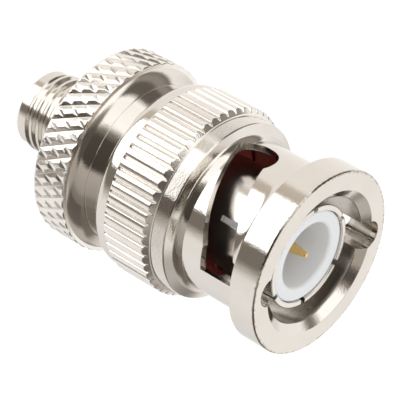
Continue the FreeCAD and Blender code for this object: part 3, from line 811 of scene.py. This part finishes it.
class ADAPTER_OT_jack_body(bpy.types.Operator):
    """Threaded barrel, diamond-knurled flange and flare of the jack"""

    bl_idname = "adapter.jack_body"
    bl_label = "Jack Body"

    def execute(self, context):
        sizes = in_millimetres(context.scene.adapter_jack)
        colours = context.scene.adapter_colours
        bm = bmesh.new()
        self.add_core(bm, sizes)
        self.add_thread(bm, sizes)
        self.add_diamonds(bm, sizes)
        materials = (body_nickel(colours), knurl_nickel(colours))
        add_piece("jack_shell", bm, materials, "body", "nickel_plate", "jack_body")
        return {"FINISHED"}

    def add_core(self, bm, s):
        """Everything but the thread's turns and the diamonds."""
        root = s.thread_radius - s.thread_depth - 0.03
        core = s.flange_radius - s.diamond_depth - 0.06
        edge = s.flange_radius - s.front_chamfer
        middle = (
            s.flare_radius + (edge - s.flare_radius) * 0.36,
            s.flange_front + (s.flare_top - s.flange_front) * 0.45,
        )
        flare = arc((edge, s.flange_front), middle, (s.flare_radius, s.flare_top), 14)
        profile = rounded([
            (s.recess_radius, 0, 0.06),
            (s.pilot_radius, 0, 0.1),
            (s.pilot_radius, s.pilot_length, 0.02),
            (root, s.pilot_length),
            (root, s.flange_rear, 0.1),
            (core, s.flange_rear + 0.01),
            (core, s.flange_front - 0.12),
            (edge, s.flange_front - 0.12),
            (edge, s.flange_front),
        ], closed=False)
        profile += [Vector(point) for point in flare[:-1]]
        profile += rounded([
            (s.flare_radius, s.flare_top - 0.02),
            (s.flare_radius - 0.03, s.flare_top),
            (s.spigot_radius, s.flare_top),
            (s.spigot_radius, s.spigot_floor),
            (s.insulator_radius, s.spigot_floor),
            (s.insulator_radius, s.recess_depth, 0.03),
            (s.recess_radius, s.recess_depth, 0.03),
            (s.recess_radius, 0.1),
        ], closed=False)
        add_turned(bm, profile, 256)

    def add_thread(self, bm, s):
        """Turns of the thread, as rows that climb with it."""
        low = s.pilot_length
        high = s.flange_rear - s.relief_length
        root = s.thread_radius - s.thread_show
        section = rounded([
            (root, 0.0), (root, 0.05, 0.06), (s.thread_radius, 0.3, 0.1), (s.thread_radius, 0.7, 0.1),
            (root, 0.95, 0.06), (root, 1.0),
        ], closed=False, steps=3, support=0.2)
        columns = 144
        per_turn = len(section) - 1
        turns = int(math.ceil((high - low) / s.thread_pitch)) + 3
        steps = [(radius, turn + share) for turn in range(turns) for radius, share in section[:-1]]
        start = low + s.thread_lead_in - s.thread_pitch * (s.thread_phase / (2 * math.pi) + 1)

        def place(i, k):
            radius, share = steps[k]
            z = min(max(start + (share + i / columns) * s.thread_pitch, low), high)
            lead_in = s.pilot_radius + z - low
            lead_out = root + (high - z) * 1.5
            return polar(min(radius, lead_in, lead_out), 2 * math.pi * i / columns, z)

        rows = [[bm.verts.new(place(i, k)) for i in range(columns)] for k in range(len(steps))]
        for k in range(len(steps) - 1):
            for i in range(columns):
                back = per_turn if i == columns - 1 else 0
                if k < back:
                    continue
                j = (i + 1) % columns
                corners = (rows[k][i], rows[k - back][j], rows[k + 1 - back][j], rows[k + 1][i])
                heights = [vert.co.z for vert in corners]
                if max(heights) - min(heights) > 1e-6:
                    bm.faces.new(corners)
        verts = [vert for row in rows for vert in row]
        bmesh.ops.delete(bm, geom=[vert for vert in verts if not vert.link_faces], context="VERTS")
        bmesh.ops.remove_doubles(bm, verts=[vert for vert in verts if vert.is_valid], dist=1e-4)

    def add_diamonds(self, bm, s):
        """The diamond knurl, on a grid that its grooves run through corner to corner."""
        fine = 12
        columns = s.diamond_count * 2 * fine
        rows = s.diamond_rows * fine + 1
        height = s.flange_front - s.flange_rear

        def groove(u, half_width, depth):
            off = abs((u % 1.0) - 0.5) * 2 * fine
            return depth * max(1 - off / half_width, 0)

        def depths(i, k):
            across = i / (2 * fine)
            up = k / (2 * fine) + 0.5
            return groove(across + up, 0.66 * fine, s.diamond_depth), groove(across - up, 0.46 * fine, s.cross_depth)

        def place(i, k):
            z = s.flange_rear + height * k / (rows - 1)
            front = s.flange_radius - s.edge_break + (s.flange_front - z)
            rear = s.flange_radius - s.rear_chamfer + (z - s.flange_rear)
            radius = min(s.flange_radius - max(depths(i, k)), front, rear)
            return polar(radius, s.diamond_phase + 2 * math.pi * i / columns, z)

        def split(i, k):
            long_groove, cross_groove = depths(i + 0.5, k + 0.5)
            return "falling" if long_groove >= cross_groove else "rising"

        faces = add_band(bm, columns, rows, place, split)
        for face in faces:
            face.material_index = 1
        rim = [edge for edge in {e for face in faces for e in face.edges} if len(edge.link_faces) == 1]
        top = [edge for edge in rim if edge.verts[0].co.z > s.flange_front - 0.01]
        bottom = [edge for edge in rim if edge.verts[0].co.z < s.flange_rear + 0.01]
        for ring, radius, rise in ((top, s.flange_radius - s.front_chamfer - 0.05, 0.0),
                                   (bottom, s.flange_radius - s.diamond_depth - 0.2, 0.0)):
            made = bmesh.ops.extrude_edge_only(bm, edges=ring)["geom"]
            for vert in [item for item in made if isinstance(item, bmesh.types.BMVert)]:
                scale = radius / math.hypot(vert.co.x, vert.co.y)
                vert.co.x *= scale
                vert.co.y *= scale
                vert.co.z += rise


class ADAPTER_OT_collar(bpy.types.Operator):
    """Plain collar that carries the outer contact"""

    bl_idname = "adapter.collar"
    bl_label = "Collar"

    def execute(self, context):
        s = in_millimetres(context.scene.adapter_collar)
        bm = bmesh.new()
        profile = rounded([
            (s.bore_radius, s.spigot_bottom),
            (s.spigot_radius, s.spigot_bottom),
            (s.spigot_radius, s.bottom),
            (s.radius, s.bottom, 0.03),
            (s.front_radius, s.top, 0.09),
            (s.seat_radius, s.top),
            (s.seat_radius, s.seat_bottom),
            (s.bore_radius, s.seat_bottom),
        ])
        add_turned(bm, profile, 256)
        material = body_nickel(context.scene.adapter_colours)
        add_piece("collar", bm, material, "body", "nickel_plate", "plug_body")
        return {"FINISHED"}


class ADAPTER_OT_outer_contact(bpy.types.Operator):
    """Slotted outer contact of the plug"""

    bl_idname = "adapter.outer_contact"
    bl_label = "Outer Contact"

    def execute(self, context):
        s = in_millimetres(context.scene.adapter_contact)
        colours = context.scene.adapter_colours
        bm = bmesh.new()
        profile = rounded([
            (s.bore_radius, s.bottom),
            (s.spigot_radius, s.bottom),
            (s.spigot_radius, s.neck_bottom),
            (s.neck_radius, s.neck_bottom, 0.03),
            (s.neck_radius, s.flange_bottom, 0.05),
            (s.flange_radius, s.flange_bottom, 0.06),
            (s.flange_radius, s.flange_top, 0.06),
            (s.sleeve_radius, s.flange_top, 0.08),
            (s.sleeve_radius, s.rim, 0.1),
            (s.bore_radius, s.rim, 0.04),
        ])
        add_turned(bm, profile, 180)
        makers = []
        for i in range(s.slot_count):
            turn = s.slot_phase + 2 * math.pi * i / s.slot_count
            low = (s.bore_radius - 0.8, -s.slot_width / 2, s.rim - s.slot_length)
            high = (s.sleeve_radius + 0.8, s.slot_width / 2, s.rim + 0.5)
            makers.append(lambda shape, low=low, high=high, turn=turn: add_block(shape, low, high, turn))
        cut(bm, makers)
        material = nickel("Nickel Contact", colours.nickel_contact, colours.tarnish, 0.16, 0.5, 3.5)
        add_piece("contact_sleeve", bm, material, "body", "nickel_contact", "outer_contact")
        return {"FINISHED"}


class ADAPTER_OT_coupling_nut(bpy.types.Operator):
    """Coupling nut with its straight knurl, cam slots and bayonet entries"""

    bl_idname = "adapter.coupling_nut"
    bl_label = "Coupling Nut"

    def execute(self, context):
        s = in_millimetres(context.scene.adapter_nut)
        colours = context.scene.adapter_colours
        bm = bmesh.new()
        self.add_shell(bm, s)
        makers = []
        for turn in (s.entry_angle, s.entry_angle + math.pi):
            makers += self.cam_cutters(s, turn)
        cut(bm, makers)
        self.add_ridges(bm, s)
        rim = (s.ring_radius - s.ring_chamfer / 2, s.mouth - s.ring_chamfer_depth / 2)
        # The four numbers place the painted shade in the bore and entry channels. rim places the chipped specks at
        # the mouth.
        material = nickel(
            "Nickel Nut", colours.nickel_nut, colours.tarnish, 0.05, 0.15, 4.0, (5.4, 5.75, 25.3, 26.88), rim
        )
        add_piece("nut_shell", bm, (material, knurl_nickel(colours)), "nut", "nickel_nut", "coupling_nut")
        return {"FINISHED"}

    def add_shell(self, bm, s):
        """The turned nut without its ridges."""
        def at(depth):
            return s.mouth - depth

        side = s.neck_fillet * (1 - math.sqrt(0.5))
        fillet_start = s.ring_width + s.neck_fillet
        band_middle = (
            (s.band_radius + s.rear_edge_radius) / 2 + (at(0) - s.rear - s.band_end) * 0.09,
            at((s.band_end + s.mouth - s.rear) / 2),
        )
        crease_middle = (
            s.neck_radius + (s.crease_radius - s.neck_radius) * 0.27,
            at((s.neck_end + s.crease_depth) / 2),
        )
        under = s.knurl_radius - s.knurl_depth - 0.1
        band = (s.band_radius, at(s.band_end))
        crease = (s.crease_radius, at(s.crease_depth))
        neck = (s.neck_radius, at(s.neck_end))
        fillet = (s.neck_radius, at(fillet_start))
        fillet_middle = (s.neck_radius + side, at(s.ring_width + side))
        fillet_end = (s.neck_radius + s.neck_fillet, at(s.ring_width))
        profile = rounded([
            (s.rim_radius, s.rear + s.rim_thickness, 0.05),
            (s.rim_radius, s.rear, 0.05),
            (s.rear_edge_radius - 0.12, s.rear),
            (s.rear_edge_radius, s.rear + 0.1),
        ], closed=False)
        profile += [Vector(point) for point in arc((s.rear_edge_radius, s.rear + 0.1), band_middle, band, 10)]
        profile += rounded([
            band,
            (s.band_radius, at(s.knurl_end), 0.05),
            (under, at(s.knurl_end)),
            (under, at(s.knurl_start + 0.2)),
            (s.land_radius, at(s.knurl_start + 0.2)),
            (s.land_radius - 0.005, at(s.knurl_start)),
            (s.shoulder_radius, at(s.shoulder_depth), 0.09),
            crease,
        ], closed=False)[1:]
        profile += [Vector(point) for point in arc(crease, crease_middle, neck, 6)]
        profile += rounded([neck, fillet], closed=False)[1:]
        profile += [Vector(point) for point in arc(fillet, fillet_middle, fillet_end, 12)]
        profile += rounded([
            fillet_end,
            (s.ring_radius, at(s.ring_width) + 0.02),
            (s.ring_radius, at(s.ring_chamfer_depth), 0.05),
            (s.ring_radius - s.ring_chamfer, s.mouth, 0.03),
            (s.mouth_radius, s.mouth, 0.05),
            (s.bore_radius, at(s.mouth_chamfer), 0.08),
            (s.bore_radius, at(s.relief_depth - s.relief_slope)),
            (s.relief_radius, at(s.relief_depth)),
            (s.relief_radius, s.relief_rear),
            (s.bore_radius, s.relief_rear),
            (s.bore_radius, s.rear + s.rim_thickness, 0.05),
            (s.rim_radius, s.rear + s.rim_thickness),
        ], closed=False)[1:-1]
        add_turned(bm, profile, 208)

    def cam_cutters(self, s, turn):
        """The shapes of one entry channel, cam slot and round end."""
        centre = Vector(polar(s.entry_offset, turn, 0))

        def channel(shape):
            low = centre + Vector((0, 0, s.mouth - s.entry_depth))
            add_rod(shape, s.entry_radius, low, centre + Vector((0, 0, s.mouth + 1)), 64)

        def ramp(shape):
            steps = 56
            inner, outer = s.bore_radius - 0.35, s.neck_radius + 1.3
            rows = []
            for i in range(steps + 1):
                share = i / steps
                z = s.mouth - s.ramp_start - s.ramp_rise * share
                around = turn - s.ramp_turn * share
                rows.append([
                    shape.verts.new(polar(radius, around, z + rise))
                    for radius, rise in (
                        (inner, -s.ramp_width / 2), (outer, -s.ramp_width / 2),
                        (outer, s.ramp_width / 2), (inner, s.ramp_width / 2),
                    )
                ])
            for before, after in zip(rows, rows[1:]):
                for k in range(4):
                    j = (k + 1) % 4
                    shape.faces.new((before[k], before[j], after[j], after[k]))
            shape.faces.new(rows[0])
            shape.faces.new(list(reversed(rows[-1])))

        def detent(shape):
            z = s.mouth - s.detent_depth
            around = turn - s.detent_turn
            start = polar(s.bore_radius - 0.4, around, z)
            add_rod(shape, s.detent_radius, start, polar(s.neck_radius + 1.3, around, z), 64)

        return [channel, ramp, detent]

    def add_ridges(self, bm, s):
        """The straight knurl, with pointed ridge fronts."""
        pitch = 2 * math.pi / s.knurl_count
        root = s.knurl_radius - s.knurl_depth
        wide = pitch * s.knurl_radius
        section = rounded([
            (-0.5 * wide, root),
            (-0.47 * wide, root, 0.03),
            (-0.34 * wide, s.knurl_radius - 0.08, 0.07),
            (0, s.knurl_radius, 0.6),
            (0.34 * wide, s.knurl_radius - 0.08, 0.07),
            (0.47 * wide, root, 0.03),
            (0.5 * wide, root),
        ], closed=False, steps=3, support=0.05)[:-1]
        per_ridge = len(section)
        low, high = s.mouth - s.knurl_end - 0.01, s.mouth - s.knurl_start
        tip = s.knurl_chamfer
        heights = [low, low + 0.03, low + 0.1, low + 0.16, high - tip - 0.08]
        heights += [high - tip + tip * i / 10 for i in range(11)]
        heights += [high + 0.005]

        def place(i, k):
            across, radius = section[i % per_ridge]
            around = s.knurl_phase + pitch * (i // per_ridge) + across / s.knurl_radius
            z = heights[k]
            front = s.knurl_radius - s.knurl_chamfer + (high - z)
            rear = s.knurl_radius - 0.12 + (z - low)
            if k == len(heights) - 1:
                return polar(s.land_radius - 0.03, around, z)
            return polar(min(radius, front, rear), around, z)

        for face in add_band(bm, s.knurl_count * per_ridge, len(heights), place):
            face.material_index = 1


class ADAPTER_OT_gasket(bpy.types.Operator):
    """Soft ring in front of the outer contact's flange"""

    bl_idname = "adapter.gasket"
    bl_label = "Gasket"

    def execute(self, context):
        s = in_millimetres(context.scene.adapter_inner)
        bm = bmesh.new()
        profile = rounded([
            (s.gasket_bore, s.gasket_bottom, 0.08),
            (s.gasket_radius, s.gasket_bottom, 0.08),
            (s.gasket_radius, s.gasket_top, 0.16),
            (s.gasket_bore, s.gasket_top, 0.1),
        ], steps=5)
        add_turned(bm, profile, 144)
        material = silicone(context.scene.adapter_colours.silicone)
        add_piece("seal_ring", bm, material, "body", "silicone", "gasket")
        return {"FINISHED"}


class ADAPTER_OT_insulators(bpy.types.Operator):
    """White insulators of the plug and the jack"""

    bl_idname = "adapter.insulators"
    bl_label = "Insulators"

    def execute(self, context):
        s = in_millimetres(context.scene.adapter_inner)
        material = fluoropolymer(context.scene.adapter_colours.insulator)
        hole = s.pin_radius + 0.01
        bm = bmesh.new()
        profile = rounded([
            (hole, s.insulator_bottom + s.collar_length + 0.01),
            (s.collar_radius + 0.01, s.insulator_bottom + s.collar_length + 0.01),
            (s.collar_radius + 0.01, s.insulator_bottom),
            (s.insulator_radius, s.insulator_bottom),
            (s.insulator_radius, s.insulator_rim, 0.14),
            (s.insulator_bore, s.insulator_rim, 0.3),
            (s.insulator_bore, s.insulator_floor, 0.12),
            (hole, s.insulator_floor, 0.05),
        ], steps=6)
        add_turned(bm, profile, 192)
        add_piece("plug_insulator_tube", bm, material, "body", "fluoropolymer", "plug_insulator")
        bm = bmesh.new()
        hole = s.socket_radius + 0.01
        profile = rounded([
            (hole, s.jack_face, 0.05),
            (s.jack_radius, s.jack_face, 0.05),
            (s.jack_radius, s.jack_head_bottom),
            (s.jack_head_radius, s.jack_head_bottom),
            (s.jack_head_radius, s.jack_head_top),
            (s.collar_radius + 0.01, s.jack_head_top),
            (s.collar_radius + 0.01, s.jack_head_top - s.collar_length - 0.01),
            (hole, s.jack_head_top - s.collar_length - 0.01),
        ])
        add_turned(bm, profile, 128)
        add_piece("jack_insulator_core", bm, material, "body", "fluoropolymer", "jack_insulator")
        return {"FINISHED"}


class ADAPTER_OT_centre_contacts(bpy.types.Operator):
    """Gold pin of the plug and slotted gold socket of the jack"""

    bl_idname = "adapter.centre_contacts"
    bl_label = "Centre Contacts"

    def execute(self, context):
        s = in_millimetres(context.scene.adapter_inner)
        material = gold(context.scene.adapter_colours.gold)
        bm = bmesh.new()
        profile = rounded([
            (0, s.pin_collar - 1.4),
            (0.42, s.pin_collar - 1.4, 0.05),
            (0.42, s.pin_collar),
            (s.collar_radius, s.pin_collar),
            (s.collar_radius, s.pin_collar + s.collar_length),
            (s.pin_radius, s.pin_collar + s.collar_length),
            (s.pin_radius, s.pin_tip - s.pin_taper, 0.6),
            (s.pin_tip_radius, s.pin_tip, 0.07),
            (0, s.pin_tip),
        ], closed=False, steps=6)
        add_turned(bm, profile, 96, closed=False)
        add_piece("centre_pin", bm, material, "body", "gold_plate", "plug_pin")
        bm = bmesh.new()
        collar = s.jack_head_top - s.collar_length
        profile = rounded([
            (0, s.socket_bottom + s.socket_depth),
            (s.socket_bore, s.socket_bottom + s.socket_depth),
            (s.socket_bore, s.socket_bottom, 0.04),
            (s.socket_radius, s.socket_bottom, 0.08),
            (s.socket_radius, collar),
            (s.collar_radius, collar),
            (s.collar_radius, s.jack_head_top),
            (0.43, s.jack_head_top),
            (0.43, s.pin_collar - 1.42),
            (0, s.pin_collar - 1.42),
        ], closed=False)
        add_turned(bm, profile, 72, closed=False)
        makers = []
        for i in range(4):
            low = (0.05, -s.socket_slot / 2, s.socket_bottom - 0.5)
            high = (s.socket_radius + 0.5, s.socket_slot / 2, s.socket_bottom + s.socket_slot_length)
            turn = i * math.pi / 2
            makers.append(lambda shape, low=low, high=high, turn=turn: add_block(shape, low, high, turn))
        cut(bm, makers)
        add_piece("centre_socket", bm, material, "body", "gold_plate", "jack_socket")
        return {"FINISHED"}


class ADAPTER_OT_washers(bpy.types.Operator):
    """Thrust washer and the two wave washers that pull the nut back"""

    bl_idname = "adapter.washers"
    bl_label = "Washers"

    def execute(self, context):
        s = in_millimetres(context.scene.adapter_washers)
        material = spring_steel(context.scene.adapter_colours.steel)
        bm = bmesh.new()
        profile = rounded([
            (s.bore_radius, s.thrust_bottom, 0.04),
            (s.thrust_radius, s.thrust_bottom, 0.04),
            (s.thrust_radius, s.thrust_top, 0.04),
            (s.bore_radius, s.thrust_top, 0.04),
        ])
        add_turned(bm, profile, 128)
        add_piece("thrust_ring", bm, material, "washer", "spring_steel", "thrust_washer")
        self.add_wave("wave_ring_rear", s, s.rear_bottom, 0.0, material, "wave_washer_rear")
        self.add_wave("wave_ring_front", s, s.front_bottom, math.pi, material, "wave_washer_front")
        return {"FINISHED"}

    def add_wave(self, name, s, low, phase, material, node):
        """A sprung washer that rises and falls round its circle."""
        profile = rounded([
            (s.bore_radius, low, 0.03),
            (s.wave_radius, low, 0.03),
            (s.wave_radius, low + s.wave_sheet, 0.03),
            (s.bore_radius, low + s.wave_sheet, 0.03),
        ], steps=3)
        bm = bmesh.new()
        add_turned(bm, profile, 144)
        swing = (s.wave_height - s.wave_sheet) / 2
        for vert in bm.verts:
            turn = math.atan2(vert.co.y, vert.co.x)
            vert.co.z += swing * (1 + math.sin(s.wave_count * turn + phase))
        piece = add_piece(name, bm, material, "body", "spring_steel", node)
        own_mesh(piece)


class ADAPTER_OT_stage(bpy.types.Operator):
    """Floor, light and camera"""

    bl_idname = "adapter.stage"
    bl_label = "Stage"

    def execute(self, context):
        settings = context.scene.adapter_stage
        self.add_floor(context, settings)
        self.add_light(context, settings)
        self.add_camera(context, settings)
        context.scene.view_settings.view_transform = "Standard"
        return {"FINISHED"}

    def add_floor(self, context, settings):
        """A plain pale floor. Its shadow stays, and it can be looked through from below."""
        half = settings.floor_size / 2
        mesh = bpy.data.meshes.new("floor")
        mesh.from_pydata([(-half, -half, 0), (half, -half, 0), (half, half, 0), (-half, half, 0)], [], [(0, 1, 2, 3)])
        material, tree, out = new_material("Floor")
        path = tree.add("ShaderNodeLightPath")
        matt = tree.add("ShaderNodeBsdfDiffuse", {"Color": (*settings.floor_colour, 1)})
        pale = tree.add("ShaderNodeBsdfDiffuse", {"Color": (0.25, 0.25, 0.25, 1)})
        white = tree.add("ShaderNodeEmission", {"Color": (1, 1, 1, 1), "Strength": 0.86})
        shown = tree.add("ShaderNodeAddShader", {0: pale.outputs[0], 1: white.outputs[0]})
        above = tree.add("ShaderNodeMixShader", {
            0: path.outputs["Is Camera Ray"], 1: matt.outputs[0], 2: shown.outputs[0]
        })
        below = tree.add("ShaderNodeBsdfTransparent")
        side = tree.add("ShaderNodeNewGeometry").outputs["Backfacing"]
        both = tree.add("ShaderNodeMixShader", {0: side, 1: above.outputs[0], 2: below.outputs[0]})
        tree.tree.links.new(both.outputs[0], out.inputs[0])
        mesh.materials.append(material)
        floor = bpy.data.objects.new("floor", mesh)
        context.scene.collection.objects.link(floor)
        floor.visible_glossy = False

    def add_light(self, context, settings):
        """Soft light all round. Polished metal sees windows and dark walls in it."""
        world = bpy.data.worlds.new("Studio")
        context.scene.world = world
        world.use_nodes = True
        world.node_tree.nodes.clear()
        tree = Tree(world.node_tree)
        out = tree.add("ShaderNodeOutputWorld")
        path = tree.add("ShaderNodeLightPath")
        way = tree.add("ShaderNodeTexCoord").outputs["Generated"]
        x, y, z = tree.add("ShaderNodeSeparateXYZ", {0: way}).outputs
        around = tree.maths("DIVIDE", tree.maths("ARCTAN2", y, x), 2 * math.pi)
        around = tree.maths("FRACT", tree.maths("ADD", around, 1.0))
        up = tree.maths("MULTIPLY", tree.maths("ARCSINE", z), 180 / math.pi)

        def bands(stops):
            ramp = tree.add("ShaderNodeValToRGB", {0: around})
            ramp.color_ramp.interpolation = "LINEAR"
            elements = ramp.color_ramp.elements
            while len(elements) < len(stops):
                elements.new(0.5)
            for element, (degrees, value, warmth) in zip(elements, stops):
                element.position = degrees / 360
                element.color = (value, value * (1 - 0.5 * warmth), value * (1 - warmth), 1)
            return ramp.outputs[0]

        low = bands([
            (0, 0.47, 0.03), (40, 0.43, 0.03), (62, 0.38, 0.02), (85, 0.45, 0.02), (105, 0.51, 0.04),
            (150, 0.49, 0.08), (206, 0.48, 0.08), (211, 0.32, 0.22), (224, 0.29, 0.22), (228, 1.00, 0.0),
            (287, 1.00, 0.0), (291, 0.11, 0.25), (312, 0.11, 0.25), (320, 0.27, 0.15), (330, 0.46, 0.05),
            (360, 0.47, 0.03),
        ])
        level = bands([
            (0, 0.10, 0.25), (24, 0.09, 0.3), (48, 0.11, 0.3), (57, 0.30, 0.1), (66, 0.42, 0.1),
            (79, 0.50, 0.05), (100, 0.46, 0.04), (110, 0.40, 0.04), (142, 0.52, 0.03), (148, 0.10, 0.25),
            (158, 0.16, 0.2), (168, 0.16, 0.2), (174, 0.07, 0.25), (198, 0.07, 0.25), (207, 0.66, 0.02),
            (214, 0.60, 0.02), (249, 0.66, 0.04), (257, 0.15, 0.25), (268, 0.04, 0.3), (307, 0.03, 0.3),
            (313, 0.25, 0.15), (342, 0.19, 0.2), (350, 0.12, 0.2), (360, 0.12, 0.2),
        ])
        high = bands([
            (0, 0.06, 0.25), (32, 0.08, 0.25), (40, 0.26, 0.1), (54, 0.28, 0.1), (60, 0.18, 0.1), (66, 0.14, 0.15),
            (79, 0.50, 0.05), (120, 0.49, 0.03), (142, 0.52, 0.03), (148, 0.10, 0.25),
            (158, 0.16, 0.2), (168, 0.16, 0.2), (174, 0.07, 0.25), (198, 0.07, 0.25), (207, 0.66, 0.02),
            (214, 0.60, 0.02), (249, 0.66, 0.04), (257, 0.15, 0.25), (268, 0.04, 0.3), (307, 0.03, 0.3),
            (313, 0.25, 0.15), (342, 0.19, 0.2), (350, 0.12, 0.2), (360, 0.12, 0.2),
        ])
        top = bands([
            (0, 0.22, 0.2), (12, 0.22, 0.15), (26, 0.46, 0.05), (50, 0.45, 0.05), (60, 0.08, 0.25),
            (95, 0.04, 0.25), (108, 0.11, 0.2), (122, 0.38, 0.06), (140, 0.43, 0.03), (150, 0.38, 0.1),
            (161, 0.65, 0.02), (205, 0.68, 0.02), (214, 0.46, 0.05), (226, 0.18, 0.2),
            (245, 0.12, 0.25), (262, 0.05, 0.25), (318, 0.05, 0.25), (332, 0.22, 0.2), (360, 0.22, 0.2),
        ])
        seen = tree.mix(tree.spread(up, -28.0, -22.0, 0.0, 1.0), low, level)
        seen = tree.mix(tree.spread(up, 4.0, 12.0, 0.0, 1.0), seen, high)
        seen = tree.mix(tree.spread(up, 48.0, 56.0, 0.0, 1.0), seen, top)
        room = tree.add("ShaderNodeBackground", {"Color": (1, 1, 1, 1), "Strength": settings.room_light})
        white = tree.add("ShaderNodeBackground", {"Color": (1, 1, 1, 1), "Strength": 1.0})
        mirrored = tree.add("ShaderNodeBackground", {"Color": seen, "Strength": 2.0})
        metal = tree.add("ShaderNodeMixShader", {
            0: path.outputs["Is Glossy Ray"], 1: room.outputs[0], 2: mirrored.outputs[0]
        })
        final = tree.add("ShaderNodeMixShader", {
            0: path.outputs["Is Camera Ray"], 1: metal.outputs[0], 2: white.outputs[0]
        })
        tree.tree.links.new(final.outputs[0], out.inputs[0])

    def add_camera(self, context, settings):
        """The camera at the photograph's viewing angle."""
        data = bpy.data.cameras.new("Camera")
        data.sensor_width = 36
        data.lens = settings.lens
        data.clip_start = 0.005
        data.clip_end = 50
        camera = bpy.data.objects.new("Camera", data)
        context.scene.collection.objects.link(camera)
        aim = Vector((settings.aim_x, 0, settings.aim_z))
        back = Vector((0, -math.cos(settings.elevation), math.sin(settings.elevation)))
        camera.location = aim + back * settings.distance
        level = (-back).to_track_quat("-Z", "Y").to_matrix()
        turned = level @ Matrix.Rotation(settings.roll, 3, "Z")
        camera.rotation_euler = turned.to_euler()
        context.scene.camera = camera


# Panel and registration

class ADAPTER_PT_panel(bpy.types.Panel):
    """Sizes, colours and pieces of the adapter"""

    bl_label = "Coaxial Adapter"
    bl_idname = "ADAPTER_PT_panel"
    bl_space_type = "VIEW_3D"
    bl_region_type = "UI"
    bl_category = "Adapter"

    def draw(self, context):
        layout = self.layout
        for operator in OPERATORS:
            layout.operator(operator.bl_idname)
        for name, group, label in GROUPS:
            box = layout.box()
            box.label(text=label)
            values = getattr(context.scene, name)
            for prop in group.bl_rna.properties:
                if prop.identifier not in ("rna_type", "name"):
                    box.prop(values, prop.identifier)


GROUPS = (
    ("adapter_jack", JackSizes, "Jack Body"),
    ("adapter_collar", CollarSizes, "Collar"),
    ("adapter_contact", ContactSizes, "Outer Contact"),
    ("adapter_nut", NutSizes, "Coupling Nut"),
    ("adapter_inner", InnerSizes, "Inner Pieces"),
    ("adapter_washers", WasherSizes, "Washers"),
    ("adapter_colours", FinishColours, "Finishes"),
    ("adapter_stage", StageSettings, "Stage"),
)
OPERATORS = (
    ADAPTER_OT_jack_body,
    ADAPTER_OT_collar,
    ADAPTER_OT_outer_contact,
    ADAPTER_OT_coupling_nut,
    ADAPTER_OT_gasket,
    ADAPTER_OT_insulators,
    ADAPTER_OT_centre_contacts,
    ADAPTER_OT_washers,
    ADAPTER_OT_stage,
)


def register():
    """Registers the classes and hangs the settings on the scene."""
    for name, group, label in GROUPS:
        bpy.utils.register_class(group)
        setattr(bpy.types.Scene, name, PointerProperty(type=group))
    for operator in OPERATORS:
        bpy.utils.register_class(operator)
    bpy.utils.register_class(ADAPTER_PT_panel)


def unregister():
    """Takes everything back."""
    bpy.utils.unregister_class(ADAPTER_PT_panel)
    for operator in reversed(OPERATORS):
        bpy.utils.unregister_class(operator)
    for name, group, label in reversed(GROUPS):
        delattr(bpy.types.Scene, name)
        bpy.utils.unregister_class(group)


def main():
    """Builds every piece and the stage."""
    register()
    bpy.ops.adapter.jack_body()
    bpy.ops.adapter.collar()
    bpy.ops.adapter.outer_contact()
    bpy.ops.adapter.coupling_nut()
    bpy.ops.adapter.gasket()
    bpy.ops.adapter.insulators()
    bpy.ops.adapter.centre_contacts()
    bpy.ops.adapter.washers()
    bpy.ops.adapter.stage()


if __name__ == "__main__":
    main()
